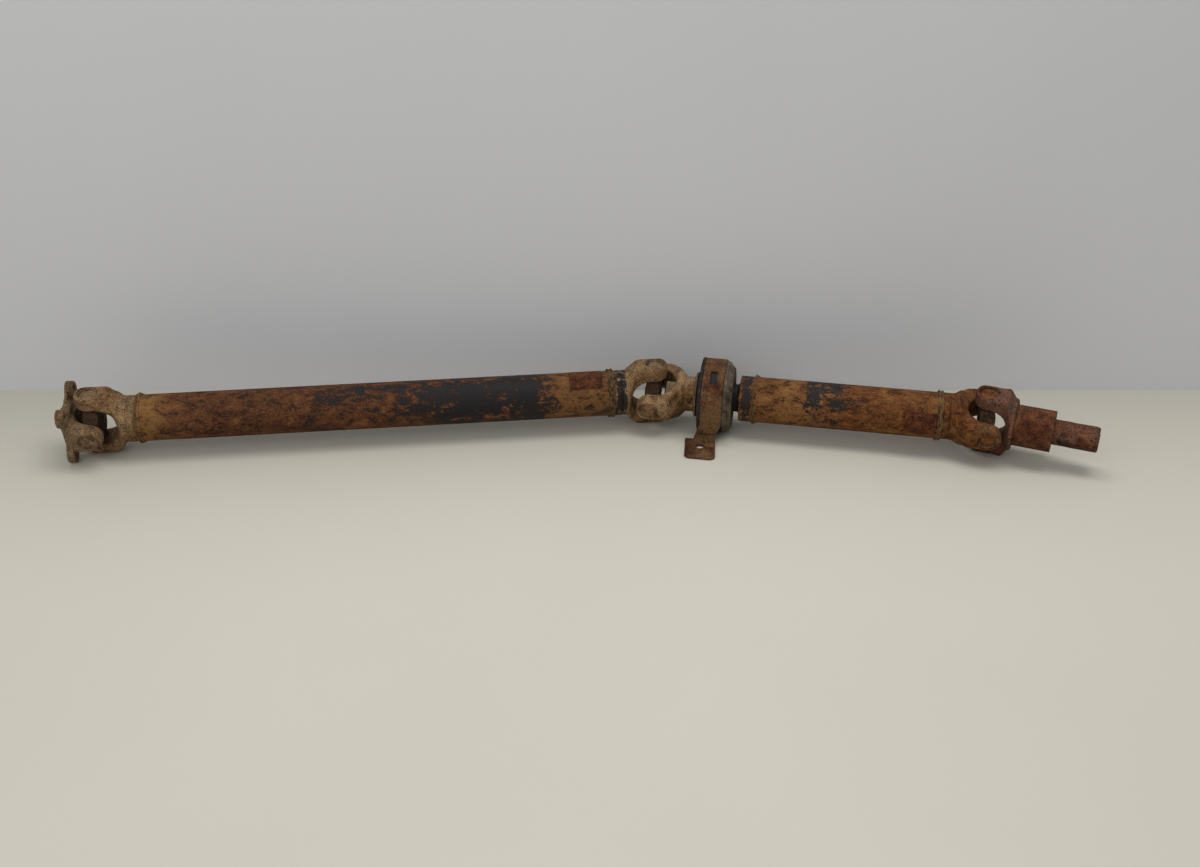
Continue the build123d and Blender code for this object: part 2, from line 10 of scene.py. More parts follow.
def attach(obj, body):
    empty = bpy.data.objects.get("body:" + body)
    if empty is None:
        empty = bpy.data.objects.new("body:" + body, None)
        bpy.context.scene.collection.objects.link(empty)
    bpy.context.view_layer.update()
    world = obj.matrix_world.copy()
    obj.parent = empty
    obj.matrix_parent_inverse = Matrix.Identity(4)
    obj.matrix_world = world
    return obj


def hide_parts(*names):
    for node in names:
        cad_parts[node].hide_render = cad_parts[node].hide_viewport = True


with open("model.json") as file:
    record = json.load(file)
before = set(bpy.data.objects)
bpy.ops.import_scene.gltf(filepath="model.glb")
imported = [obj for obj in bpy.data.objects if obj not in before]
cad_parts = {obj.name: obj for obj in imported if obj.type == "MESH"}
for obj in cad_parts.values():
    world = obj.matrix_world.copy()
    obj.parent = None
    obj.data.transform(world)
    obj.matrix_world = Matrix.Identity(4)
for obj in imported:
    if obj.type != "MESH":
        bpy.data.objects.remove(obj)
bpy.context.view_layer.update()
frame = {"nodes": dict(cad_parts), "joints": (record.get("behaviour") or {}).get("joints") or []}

# Places in metres, in the row frame, from the frame's joints
joints = {joint["name"]: joint for joint in frame["joints"]}


def joint_place(name):
    return Vector(joints[name]["pos_m"])


def joint_axis(name):
    return Vector(joints[name]["axis"]).normalized()


bearing_centre = joint_place("bearing_spin")
centre_joint = joint_place("centre_joint_front_pin")
front_joint = joint_place("front_joint_tube_pin")
rear_joint = joint_place("rear_joint_tube_pin")
front_direction = joint_axis("bearing_spin")
rear_direction = (centre_joint - rear_joint).normalized()
rear_pin = joint_axis("centre_joint_rear_pin")
front_pin = joint_axis("centre_joint_front_pin")
flange_pin = joint_axis("rear_joint_flange_pin")
slip_pin = joint_axis("front_joint_slip_pin")
slip_direction = slip_pin.cross(front_pin.cross(slip_pin)).normalized()


# Materials
class Nodes:
    """Short calls for building one node material."""

    def __init__(self, name):
        self.material = bpy.data.materials.new(name)
        self.material.use_nodes = True
        self.tree = self.material.node_tree
        self.shader = self.tree.nodes["Principled BSDF"]
        self.place = self.add("ShaderNodeTexCoord").outputs["Object"]
        self.pattern = self.place

    def add(self, kind, **settings):
        node = self.tree.nodes.new(kind)
        for key, value in settings.items():
            setattr(node, key, value)
        return node

    def feed(self, socket, value):
        """Links a socket to the value, or writes the value on it."""
        if isinstance(value, bpy.types.NodeSocket):
            self.tree.links.new(value, socket)
        elif isinstance(value, (tuple, list)) and len(value) == 3 and socket.type == "RGBA":
            socket.default_value = (*value, 1.0)
        else:
            socket.default_value = value

    def noise(self, scale, detail, rough, distortion=0.0):
        node = self.add("ShaderNodeTexNoise")
        self.feed(node.inputs["Vector"], self.pattern)
        self.feed(node.inputs["Scale"], scale)
        self.feed(node.inputs["Detail"], detail)
        self.feed(node.inputs["Roughness"], rough)
        self.feed(node.inputs["Distortion"], distortion)
        return node.outputs["Fac"]

    def math(self, operation, first, second=0.0, third=0.0):
        node = self.add("ShaderNodeMath", operation=operation)
        for socket, value in zip(node.inputs, (first, second, third)):
            self.feed(socket, value)
        return node.outputs[0]

    def vector_math(self, operation, first, second):
        node = self.add("ShaderNodeVectorMath", operation=operation)
        self.feed(node.inputs[0], first)
        self.feed(node.inputs[1], second)
        return node

    def between(self, value, low, high):
        """0 below low, 1 above high, smooth between."""
        node = self.add("ShaderNodeMapRange", interpolation_type="SMOOTHSTEP")
        self.feed(node.inputs["Value"], value)
        self.feed(node.inputs["From Min"], low)
        self.feed(node.inputs["From Max"], high)
        return node.outputs["Result"]

    def mix(self, amount, first, second):
        node = self.add("ShaderNodeMix", data_type="RGBA")
        factor, first_colour, second_colour = node.inputs[0], node.inputs[6], node.inputs[7]
        self.feed(factor, amount)
        self.feed(first_colour, first)
        self.feed(second_colour, second)
        return node.outputs[2]

    def draw_out(self, direction, share):
        """Shrinks distances along a direction, so patterns get longer that way."""
        direction = tuple(direction)
        along = self.vector_math("DOT_PRODUCT", self.place, direction).outputs["Value"]
        back = self.add("ShaderNodeVectorMath", operation="SCALE")
        self.feed(back.inputs[0], direction)
        self.feed(back.inputs["Scale"], self.math("MULTIPLY", along, -share))
        self.pattern = self.vector_math("ADD", self.place, back.outputs[0]).outputs[0]

    def along(self, direction, origin):
        """Distance in metres from origin along direction."""
        offset = self.vector_math("SUBTRACT", self.place, tuple(origin)).outputs[0]
        return self.vector_math("DOT_PRODUCT", offset, tuple(direction)).outputs["Value"]

    def curve(self, value, low, high, points):
        """A value drawn as straight runs through (place, height) points between low and high."""
        spread = self.add("ShaderNodeMapRange")
        self.feed(spread.inputs["Value"], value)
        self.feed(spread.inputs["From Min"], low)
        self.feed(spread.inputs["From Max"], high)
        ramp = self.add("ShaderNodeValToRGB")
        elements = ramp.color_ramp.elements
        while len(elements) < len(points):
            elements.new(0.5)
        for element, (where, height) in zip(elements, points):
            element.position = (where - low) / (high - low)
            element.color = (height, height, height, 1.0)
        self.feed(ramp.inputs["Fac"], spread.outputs["Result"])
        return ramp.outputs["Color"]

    def finish(self, colour, roughness, height, depth, strength=0.8):
        bump = self.add("ShaderNodeBump")
        bump.inputs["Distance"].default_value = depth
        bump.inputs["Strength"].default_value = strength
        self.feed(bump.inputs["Height"], height)
        self.feed(self.shader.inputs["Normal"], bump.outputs["Normal"])
        self.feed(self.shader.inputs["Base Color"], colour)
        self.feed(self.shader.inputs["Roughness"], roughness)
        return self.material


streak_share = 0.45
pit_darkness = 0.4
rust_specular = 0.16
rubber_specular = 0.3


def rusty_steel(
    name, dark, middle, light, dust_share, dust=(0.2, 0.12, 0.055), dust_place=None,
    paint=None, paint_and_shade_colour=(0.010, 0.010, 0.011), depth=0.0007, stretch=None,
):
    """Pitted rust in three tones with dusty patches, and what is left of a coat of black paint; on
    the shell the coat is painted shade under the strap.

    dust_place gives the share of local dust from the place on the part, as does paint for the
    coat, which may also be one number. stretch is a direction along which the pattern is drawn
    out into streaks.
    """
    nodes = Nodes(name)
    if stretch is not None:
        nodes.draw_out(stretch, streak_share)
    broad = nodes.noise(20, detail=5, rough=0.6, distortion=0.5)
    patches = nodes.noise(85, detail=7, rough=0.7, distortion=0.6)
    grain = nodes.noise(520, detail=5, rough=0.75)
    fine = nodes.noise(1900, detail=2, rough=0.6)
    speckle = nodes.math("MULTIPLY_ADD", patches, 0.55, nodes.math("MULTIPLY", grain, 0.45))

    tone = nodes.mix(nodes.between(speckle, 0.42, 0.53), dark, middle)
    tone = nodes.mix(nodes.between(speckle, 0.53, 0.64), tone, light)
    dusty = nodes.math(
        "MULTIPLY", nodes.between(broad, 0.40, 0.62), nodes.between(grain, 0.36, 0.58)
    )
    dusty = nodes.math("MULTIPLY", dusty, dust_share)
    if dust_place:
        local = nodes.math("MULTIPLY", dust_place(nodes), nodes.between(speckle, 0.38, 0.58))
        dusty = nodes.math("MAXIMUM", dusty, local)
    tone = nodes.mix(dusty, tone, dust)
    pits = nodes.math("MULTIPLY", nodes.between(fine, 0.60, 0.74), 0.55)
    tone = nodes.mix(pits, tone, tuple(c * pit_darkness for c in dark))

    roughness = nodes.math("MULTIPLY_ADD", grain, 0.2, 0.72)
    height = nodes.math("MULTIPLY_ADD", grain, 0.8, nodes.math("MULTIPLY", fine, 0.3))
    height = nodes.math("ADD", height, patches)
    if paint:
        cover = paint(nodes) if callable(paint) else paint
        edge = nodes.math("MULTIPLY_ADD", patches, 0.6, nodes.math("MULTIPLY", grain, 0.4))
        edge = nodes.math("ADD", edge, nodes.math("MULTIPLY_ADD", broad, 0.45, -0.225))
        limit = nodes.math("MULTIPLY_ADD", cover, 0.5, 0.25)
        painted = nodes.between(nodes.math("SUBTRACT", edge, limit), 0.010, -0.010)
        scuffs = nodes.math("MULTIPLY", nodes.between(fine, 0.5, 0.66), 0.25)
        tone = nodes.mix(painted, tone, nodes.mix(scuffs, paint_and_shade_colour, middle))
        gloss = nodes.math("MULTIPLY_ADD", patches, 0.35, -0.5)
        roughness = nodes.math("ADD", roughness, nodes.math("MULTIPLY", painted, gloss))
        height = nodes.math("ADD", height, nodes.math("MULTIPLY", painted, 0.5))
    nodes.shader.inputs["Specular IOR Level"].default_value = rust_specular
    return nodes.finish(tone, roughness, height, depth=depth)


def plain_rubber(name):
    nodes = Nodes(name)
    dusty = nodes.between(nodes.noise(120, detail=5, rough=0.6), 0.45, 0.72)
    grain = nodes.noise(900, detail=3, rough=0.6)
    black = (0.012, 0.010, 0.009)
    dust = (0.07, 0.045, 0.028)
    tone = nodes.mix(nodes.math("MULTIPLY", dusty, 0.4), black, dust)
    nodes.shader.inputs["Specular IOR Level"].default_value = rubber_specular
    return nodes.finish(tone, nodes.math("MULTIPLY_ADD", grain, 0.2, 0.7), grain, depth=0.0003)


def share_along(direction, origin, low, high, points):
    """A share of paint or dust drawn along a shaft through (distance from origin, share) points."""

    def share(nodes):
        return nodes.curve(nodes.along(direction, origin), low, high, points)

    return share


# Black paint: little at the flange's end of the rear tube, most before its weight
rear_paint = share_along(
    rear_direction, rear_joint, 0.06, 0.73,
    ((0.07, 0.0), (0.15, 0.08), (0.22, 0.28), (0.30, 0.40), (0.38, 0.44), (0.47, 0.54),
     (0.60, 0.60), (0.645, 0.40), (0.69, 0.34), (0.715, 0.45)),
)
# In patches beside the front tube's weight
front_paint = share_along(
    front_direction, centre_joint, 0.148, 0.402,
    ((0.148, 0.0), (0.20, 0.0), (0.222, 0.52), (0.255, 0.55), (0.28, 0.36), (0.31, 0.15),
     (0.4, 0.0)),
)
# On the neck of the rear shaft's yoke at the centre joint
neck_paint = share_along(
    -rear_direction, centre_joint, 0.0, 0.2,
    ((0.0, 0.0), (0.037, 0.0), (0.043, 0.62), (0.056, 0.58), (0.06, 0.3), (0.19, 0.0)),
)
# On the middle of the collar and on the neck behind the shell
collar_paint = share_along(
    front_direction, bearing_centre, 0.0, 0.1,
    ((0.0, 0.9), (0.034, 0.9), (0.038, 0.25), (0.044, 0.6), (0.052, 0.55), (0.058, 0.1)),
)
# A dark patch near the open end of the dust sleeve
sleeve_paint = share_along(
    slip_direction, front_joint, 0.03, 0.1,
    ((0.03, 0.0), (0.072, 0.0), (0.078, 0.42), (0.087, 0.4)),
)
# Painted shade: the coat's black on the shell where the strap covers it, standing in for the dark
# seen through the strap's window
painted_shade_under_strap = share_along(
    front_direction, bearing_centre, -0.02, 0.03, ((0.0148, 1.0), (0.0158, 0.2))
)

# Golden dust: at both ends of the rear tube
rear_gold = share_along(
    rear_direction, rear_joint, 0.06, 0.73,
    ((0.065, 0.9), (0.085, 0.75), (0.11, 0.2), (0.2, 0.05), (0.61, 0.05), (0.645, 0.55),
     (0.72, 0.5)),
)
# Most of it before the paint on the front tube, and some at its fore end
front_gold = share_along(
    front_direction, centre_joint, 0.148, 0.402,
    ((0.15, 0.35), (0.19, 0.75), (0.22, 0.5), (0.26, 0.1), (0.36, 0.2), (0.4, 0.45)),
)
# Pale dust: near the end of the slip yoke's barrel
barrel_salt = share_along(
    slip_direction, front_joint, 0.08, 0.15, ((0.09, 0.0), (0.11, 0.25), (0.148, 0.75))
)
# On the front shaft's cups at the centre joint, and hardly any at the other
centre_joint_dust = share_along(
    front_direction, centre_joint, 0.0, 0.5, ((0.1, 0.8), (0.3, 0.0))
)

brown = dict(dark=(0.018, 0.007, 0.004), middle=(0.088, 0.030, 0.0115), light=(0.19, 0.078, 0.028))
orange = dict(dark=(0.03, 0.009, 0.003), middle=(0.13, 0.042, 0.0105), light=(0.28, 0.115, 0.034))
tan = dict(dark=(0.04, 0.018, 0.007), middle=(0.17, 0.086, 0.033), light=(0.37, 0.23, 0.11))
flange_tan = dict(
    dark=(0.03, 0.016, 0.008), middle=(0.125, 0.07, 0.032), light=(0.27, 0.175, 0.092)
)
red_brown = dict(dark=(0.02, 0.006, 0.003), middle=(0.10, 0.028, 0.009), light=(0.22, 0.075, 0.026))
gold = (0.23, 0.115, 0.036)
cream = (0.36, 0.25, 0.135)
small_part_depth = 0.0003
cup_depth = 0.0005

materials = {
    "flange": rusty_steel("flange_rust", **flange_tan, dust=cream, dust_share=0.35),
    "rear_yokes": rusty_steel(
        "rear_yoke_rust", **tan, dust=cream, dust_share=0.45, paint=neck_paint
    ),
    "rear_tube": rusty_steel(
        "rear_tube_paint", **brown, dust=gold, dust_share=0.15, dust_place=rear_gold,
        paint=rear_paint, stretch=rear_direction,
    ),
    "front_tube": rusty_steel(
        "front_tube_paint", **orange, dust=gold, dust_share=0.15, dust_place=front_gold,
        paint=front_paint, stretch=front_direction,
    ),
    "weight": rusty_steel("weight_rust", **red_brown, dust_share=0.15),
    "centre_yoke": rusty_steel(
        "centre_yoke_rust", **tan, dust=(0.42, 0.29, 0.155), dust_share=0.7
    ),
    "collar": rusty_steel(
        "collar_rust", **orange, dust=cream, dust_share=0.3, paint=collar_paint
    ),
    "front_yoke": rusty_steel(
        "front_yoke_rust", **orange, dust=(0.17, 0.10, 0.038), dust_share=0.5
    ),
    "slip": rusty_steel(
        "slip_rust", **red_brown, dust=(0.3, 0.22, 0.17), dust_share=0.25, dust_place=barrel_salt
    ),
    "sleeve": rusty_steel(
        "sleeve_rust", **red_brown, dust_share=0.25, paint=sleeve_paint,
        paint_and_shade_colour=(0.022, 0.022, 0.026),
    ),
    "bracket": rusty_steel(
        "bracket_rust", **brown, dust=(0.22, 0.13, 0.055), dust_share=0.65, paint=0.22
    ),
    # The shell's black coat is painted shade where the strap covers it
    "shell": rusty_steel(
        "shell_grey", dark=(0.022, 0.018, 0.014), middle=(0.085, 0.066, 0.046),
        light=(0.18, 0.148, 0.105), dust_share=0.3, paint=painted_shade_under_strap,
    ),
    "cup": rusty_steel(
        "cup_steel", dark=(0.05, 0.026, 0.013), middle=(0.17, 0.10, 0.05),
        light=(0.34, 0.235, 0.14), dust=cream, dust_share=0.35, depth=cup_depth,
    ),
    "red_cup": rusty_steel(
        "red_cup_steel", **orange, dust=(0.16, 0.09, 0.04), dust_share=0.3, depth=cup_depth
    ),
    "front_cup": rusty_steel(
        "front_cup_steel", **orange, dust=(0.26, 0.165, 0.085), dust_share=0.1,
        dust_place=centre_joint_dust, depth=cup_depth,
    ),
    "dark_steel": rusty_steel(
        "dark_steel", dark=(0.015, 0.009, 0.006), middle=(0.05, 0.027, 0.015),
        light=(0.11, 0.065, 0.035), dust_share=0.2, depth=small_part_depth,
    ),
    "ring_steel": rusty_steel(
        "ring_steel", dark=(0.05, 0.03, 0.018), middle=(0.15, 0.10, 0.06),
        light=(0.30, 0.22, 0.14), dust=cream, dust_share=0.3, depth=small_part_depth,
    ),
    "weld": rusty_steel(
        "weld_olive", dark=(0.025, 0.015, 0.007), middle=(0.10, 0.062, 0.026),
        light=(0.22, 0.15, 0.075), dust_share=0.2, depth=0.0004,
    ),
    "nut": rusty_steel(
        "nut_steel", dark=(0.08, 0.05, 0.028), middle=(0.25, 0.18, 0.105),
        light=(0.42, 0.34, 0.23), dust=cream, dust_share=0.3, depth=small_part_depth,
    ),
    "rubber": plain_rubber("cushion_rubber"),
}

node_materials = {
    "rear_flange_yoke": "flange",
    "rear_tube_yokes": "rear_yokes",
    "rear_tube": "rear_tube",
    "rear_balance_weight": "weight",
    "centre_yoke": "centre_yoke",
    "centre_yoke_nut": "nut",
    "centre_yoke_washer": "ring_steel",
    "stub_shaft": "collar",
    "aft_dust_deflector": "ring_steel",
    "fore_dust_deflector": "shell",
    "bearing_inner_race": "dark_steel",
    "front_tube": "front_tube",
    "front_aft_balance_weight": "weight",
    "front_fore_balance_weight": "weight",
    "front_tube_yoke": "front_yoke",
    "bearing_outer_race": "dark_steel",
    "bearing_carrier": "dark_steel",
    "rubber_cushion": "rubber",
    "cushion_shell": "shell",
    "bearing_bracket": "bracket",
    "slip_yoke": "slip",
    "slip_yoke_plug": "dark_steel",
    "slip_dust_sleeve": "sleeve",
    "rear_joint_cross": "dark_steel",
    "centre_joint_cross": "dark_steel",
    "front_joint_cross": "dark_steel",
    "flange_cups": "cup",
    "rear_shaft_cups": "cup",
    "front_shaft_cups": "front_cup",
    "slip_yoke_cups": "red_cup",
    "flange_circlips": "ring_steel",
    "rear_shaft_circlips": "ring_steel",
    "front_shaft_circlips": "ring_steel",
    "slip_yoke_circlips": "dark_steel",
}
for node, material in node_materials.items():
    slots = frame["nodes"][node].data.materials
    slots.clear()
    slots.append(materials[material])


def new_piece(name, mesh, material, body, replaced=()):
    mesh.materials.clear()
    mesh.materials.append(material)
    mesh.shade_smooth()
    piece = bpy.data.objects.new(name, mesh)
    bpy.context.scene.collection.objects.link(piece)
    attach(piece, body)
    if replaced:
        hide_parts(*replaced)


# Forgings: the rough part of a yoke is made anew from its solid, with rounded edges and an
# uneven skin, and its cups' bores and machined faces keep their shape
joining_distance = 1e-6
cut_overlap = 0.0004
smoothing_share = 0.6
bore_edge = 0.0148
ear_start = 0.02
blend = 0.002
bore_share = 0.12
machined_share = 0.8
skin_depth = 0.00035
skin_size = 0.011


def welded_copy(node):
    """The CAD node's mesh with its doubled points joined."""
    shape = bmesh.new()
    shape.from_mesh(frame["nodes"][node].data)
    bmesh.ops.remove_doubles(shape, verts=shape.verts, dist=joining_distance)
    return shape


def kept_side(shape, place, direction):
    """Cuts the shape by a plane and keeps what lies behind it, with the cut closed."""
    geometry = shape.verts[:] + shape.edges[:] + shape.faces[:]
    cut = bmesh.ops.bisect_plane(
        shape, geom=geometry, plane_co=place, plane_no=direction, clear_outer=True,
        dist=joining_distance,
    )
    rim = [item for item in cut["geom_cut"] if isinstance(item, bmesh.types.BMEdge)]
    bmesh.ops.triangle_fill(shape, edges=rim, use_beauty=True)
    bmesh.ops.recalc_face_normals(shape, faces=shape.faces)


def keep_near(shape, origin, reach):
    """Drops the loose parts of the shape that lie further than reach from origin."""
    far = [vertex for vertex in shape.verts if (vertex.co - origin).length > reach]
    bmesh.ops.delete(shape, geom=far, context="VERTS")


def remeshed(shape, voxel):
    """A new mesh of the closed shape, in even faces. The shape is used up."""
    rough = bpy.data.meshes.new("rough")
    shape.to_mesh(rough)
    shape.free()
    holder = bpy.data.objects.new("rough", rough)
    bpy.context.scene.collection.objects.link(holder)
    remesh = holder.modifiers.new("remesh", "REMESH")
    remesh.mode = "VOXEL"
    remesh.voxel_size = voxel
    bpy.context.view_layer.update()
    graph = bpy.context.evaluated_depsgraph_get()
    even = bpy.data.meshes.new_from_object(holder.evaluated_get(graph))
    bpy.data.objects.remove(holder)
    bpy.data.meshes.remove(rough)
    return even


def positions(mesh):
    places = np.empty(len(mesh.vertices) * 3)
    mesh.vertices.foreach_get("co", places)
    return places.reshape(-1, 3)


def smoothed(mesh, weight, rounds):
    """Moves each point towards the middle of its neighbours, as much as its weight says."""
    ends = np.empty(len(mesh.edges) * 2, dtype=np.int64)
    mesh.edges.foreach_get("vertices", ends)
    ends = ends.reshape(-1, 2)
    starts, stops = ends[:, 0], ends[:, 1]
    places = positions(mesh)
    points = len(places)
    neighbours = np.bincount(ends.ravel(), minlength=points)[:, None]
    share = smoothing_share * weight[:, None]
    for _ in range(rounds):
        total = np.empty_like(places)
        for axis in range(3):
            column = places[:, axis]
            total[:, axis] = np.bincount(starts, column[stops], points)
            total[:, axis] += np.bincount(stops, column[starts], points)
        places += share * (total / neighbours - places)
    mesh.vertices.foreach_set("co", places.ravel())
    mesh.update()


def swell_at(place):
    """How far the skin swells at a place, in two sizes of lump."""
    return noise.noise(place) + 0.5 * noise.noise(place * 2.7)


def uneven(mesh, weight, amount, size):
    """Pushes the skin in and out a little, as a forging's is."""
    places = positions(mesh)
    outwards = np.empty(places.size)
    mesh.vertices.foreach_get("normal", outwards)
    swell = np.array([swell_at(Vector(place)) for place in places / size])
    push = amount * weight * swell
    places += outwards.reshape(-1, 3) * push[:, None]
    mesh.vertices.foreach_set("co", places.ravel())
    mesh.update()


def ear_weights(mesh, origin, pin, direction, machined_from):
    """1 on rough faces, and little at the cups' bores and on what was machined."""
    offset = positions(mesh) - np.array(origin)
    pin = np.array(pin)
    height = offset @ pin
    radius = np.linalg.norm(offset - np.outer(height, pin), axis=1)
    rough = np.clip((radius - bore_edge) / blend, 0.0, 1.0)
    rough[np.abs(height) < ear_start] = 1.0
    weight = bore_share + (1 - bore_share) * rough
    if machined_from is not None:
        along = offset @ np.array(direction)
        weight *= 1 - machined_share * np.clip((along - machined_from) / blend, 0.0, 1.0)
    return weight


def forged(
    node, origin, pin, direction, cut_at=None, voxel=0.0009, rounds=16, machined_from=None,
    reach=None,
):
    """The rough part of a yoke as a smooth mesh.

    Distances run from the joint along direction. What lies past cut_at is added as the CAD has
    it, and what lies past machined_from stays nearly so. With reach, only what is near the joint
    is taken.
    """
    shape = welded_copy(node)
    rest = None
    if reach is not None:
        keep_near(shape, origin, reach)
    if cut_at is not None:
        rest = shape.copy()
        place = origin + direction * cut_at
        kept_side(shape, place, direction)
        kept_side(rest, place - direction * cut_overlap, -direction)
    mesh = remeshed(shape, voxel)
    weight = ear_weights(mesh, origin, pin, direction, machined_from)
    smoothed(mesh, weight, rounds)
    uneven(mesh, weight, skin_depth, skin_size)
    if rest is not None:
        joined = bmesh.new()
        joined.from_mesh(mesh)
        plain = bpy.data.meshes.new("plain")
        rest.to_mesh(plain)
        rest.free()
        joined.from_mesh(plain)
        joined.to_mesh(mesh)
        joined.free()
        bpy.data.meshes.remove(plain)
    return mesh


rear_yoke_reach = 0.2
rear_yoke_cut = 0.049
aft_yoke = forged(
    "rear_tube_yokes", rear_joint, rear_pin, rear_direction, rear_yoke_cut, reach=rear_yoke_reach
)
fore_yoke = forged(
    "rear_tube_yokes", centre_joint, rear_pin, -rear_direction, rear_yoke_cut,
    reach=rear_yoke_reach,
)
new_piece(
    "rear_yoke_aft", aft_yoke,
    materials["rear_yokes"], "rear_shaft", ["rear_tube_yokes"],
)
new_piece(
    "rear_yoke_fore", fore_yoke,
    materials["rear_yokes"], "rear_shaft", ["rear_tube_yokes"],
)
new_piece(
    "flange_forging",
    forged("rear_flange_yoke", rear_joint, flange_pin, -rear_direction,
           voxel=0.0008, rounds=14, machined_from=0.0262),
    materials["flange"], "rear_flange", ["rear_flange_yoke"],
)
new_piece(
    "centre_yoke_forging",
    forged("centre_yoke", centre_joint, front_pin, front_direction, cut_at=0.048),
    materials["centre_yoke"], "front_shaft", ["centre_yoke"],
)
new_piece(
    "front_yoke_forging",
    forged("front_tube_yoke", front_joint, front_pin, -front_direction, cut_at=0.052),
    materials["front_yoke"], "front_shaft", ["front_tube_yoke"],
)
new_piece(
    "slip_yoke_forging",
    forged("slip_yoke", front_joint, slip_pin, slip_direction, cut_at=0.0383),
    materials["slip"], "slip_yoke_body", ["slip_yoke"],
)


def rounded_plate(node):
    """A pressed part with its edges worn round."""
    plate_share, dent_depth, dent_size = 0.8, 0.0003, 0.013
    mesh = remeshed(welded_copy(node), voxel=0.0008)
    weight = np.full(len(mesh.vertices), plate_share)
    smoothed(mesh, weight, rounds=4)
    uneven(mesh, weight, dent_depth, dent_size)
    return mesh


new_piece(
    "strap_bracket", rounded_plate("bearing_bracket"),
    materials["bracket"], "bearing_support", ["bearing_bracket"],
)


# Lathe-turned pieces: the rubber cushion, the joints' rubber seals and the ripples of the welds
def lathe(origin, axis, profile, steps, ripple=0.0, waves=0):
    """Closed ring turned about an axis from (distance along it, radius) points.

    ripple is the height of the waves round the ring, on which a slower swell lies.
    """
    swell_share, swell_waves, swell_start = 0.6, 2.3, 1.0
    axis = Vector(axis).normalized()
    side = axis.orthogonal().normalized()
    other = axis.cross(side)
    corners = []
    faces = []
    for step in range(steps):
        angle = 2 * math.pi * step / steps
        swell = ripple * math.cos(waves * angle)
        swell += ripple * swell_share * math.sin(swell_waves * angle + swell_start)
        out = side * math.cos(angle) + other * math.sin(angle)
        for along, radius in profile:
            corners.append(Vector(origin) + axis * along + out * (radius + swell))
    count = len(profile)
    for step in range(steps):
        here = step * count
        there = ((step + 1) % steps) * count
        for index in range(count):
            following = (index + 1) % count
            faces.append((here + index, there + index, there + following, here + following))
    mesh = bpy.data.meshes.new("lathe")
    mesh.from_pydata([tuple(corner) for corner in corners], [], faces)
    mesh.update()
    return mesh


def joined_mesh(meshes):
    whole = bmesh.new()
    for mesh in meshes:
        whole.from_mesh(mesh)
        bpy.data.meshes.remove(mesh)
    bmesh.ops.recalc_face_normals(whole, faces=whole.faces)
    result = bpy.data.meshes.new("joined")
    whole.to_mesh(result)
    whole.free()
    return result


def cushion_profile():
    """Rubber ring with a rolled lip and a wave in its face, within the solid's outline."""
    bore_radius, bore_aft_end, bore_fore_end = 0.0331, -0.0215, 0.0065
    face_at, face_radius, face_width = -0.0226, 0.0345, 0.0190
    wave_depth, face_slope, wave_steps = 0.0028, 0.0030, 26
    lip_middle, lip_half_width, lip_radius, lip_round, lip_steps = (
        -0.0173, 0.0022, 0.0535, 0.0011, 8
    )
    seat_radius, seat_aft_end, seat_fore_end = 0.0493, -0.0151, 0.0119
    groove_outer_radius, groove_inner_radius, groove_bottom = 0.0425, 0.0381, 0.0021

    points = [(bore_fore_end, bore_radius), (bore_aft_end, bore_radius)]
    for step in range(wave_steps + 1):
        share = step / wave_steps
        wave = wave_depth * (0.5 - 0.5 * math.cos(2 * math.pi * share))
        points.append((face_at + wave + face_slope * share**2, face_radius + face_width * share))
    for step in range(1, lip_steps + 1):
        angle = math.pi * step / lip_steps
        points.append((
            lip_middle - lip_half_width * math.cos(angle),
            lip_radius + lip_round * math.sin(angle),
        ))
    return points + [
        (seat_aft_end, seat_radius),
        (seat_fore_end, seat_radius),
        (seat_fore_end, groove_outer_radius),
        (groove_bottom, groove_outer_radius),
        (groove_bottom, groove_inner_radius),
        (bore_fore_end, groove_inner_radius),
    ]


cushion = lathe(bearing_centre, front_direction, cushion_profile(), steps=128)
new_piece(
    "bearing_rubber", joined_mesh([cushion]),
    materials["rubber"], "bearing_support", ["rubber_cushion"],
)

# A seal's section from the cross's shoulder to the cup's rim, as distances from the joint along
# the pin and radii
seal_start, seal_end, seal_bore = 0.0233, 0.0266, 0.0088
seal_profile = (
    (seal_start, seal_bore), (seal_start, 0.0108), (0.0238, 0.0121), (0.0247, 0.0126),
    (0.0258, 0.0124), (seal_end, 0.0119), (seal_end, seal_bore),
)


def seals(name, body, joints_and_pins):
    rings = []
    for origin, pin in joints_and_pins:
        for side in (1, -1):
            rings.append(lathe(origin, pin * side, seal_profile, steps=48))
    new_piece(name, joined_mesh(rings), materials["rubber"], body)


seals("flange_cup_seals", "rear_flange", [(rear_joint, flange_pin)])
seals("rear_shaft_cup_seals", "rear_shaft", [(rear_joint, rear_pin), (centre_joint, rear_pin)])
seals("front_shaft_cup_seals", "front_shaft", [(centre_joint, front_pin), (front_joint, front_pin)])
seals("slip_yoke_cup_seals", "slip_yoke_body", [(front_joint, slip_pin)])

tube_radius = 0.0325
ridge_lift = 0.0004
ridge_root = 0.0006
ridge_steps = 8


def ridge(middle, width, height):
    """Rounded ridge on the tube, with its root in the tube's wall."""
    points = []
    for step in range(ridge_steps + 1):
        angle = math.pi * step / ridge_steps
        points.append((
            middle - width / 2 * math.cos(angle),
            tube_radius + ridge_lift + height * math.sin(angle),
        ))
    points.append((middle + width / 2, tube_radius - ridge_root))
    points.append((middle - width / 2, tube_radius - ridge_root))
    return points


def weld(name, body, origin, direction, beads):
    """Rippled beads round a tube, each as (middle, width, height)."""
    rings = [
        lathe(origin, direction, ridge(*bead), steps=180, ripple=0.00012, waves=60)
        for bead in beads
    ]
    new_piece(name, joined_mesh(rings), materials["weld"], body)


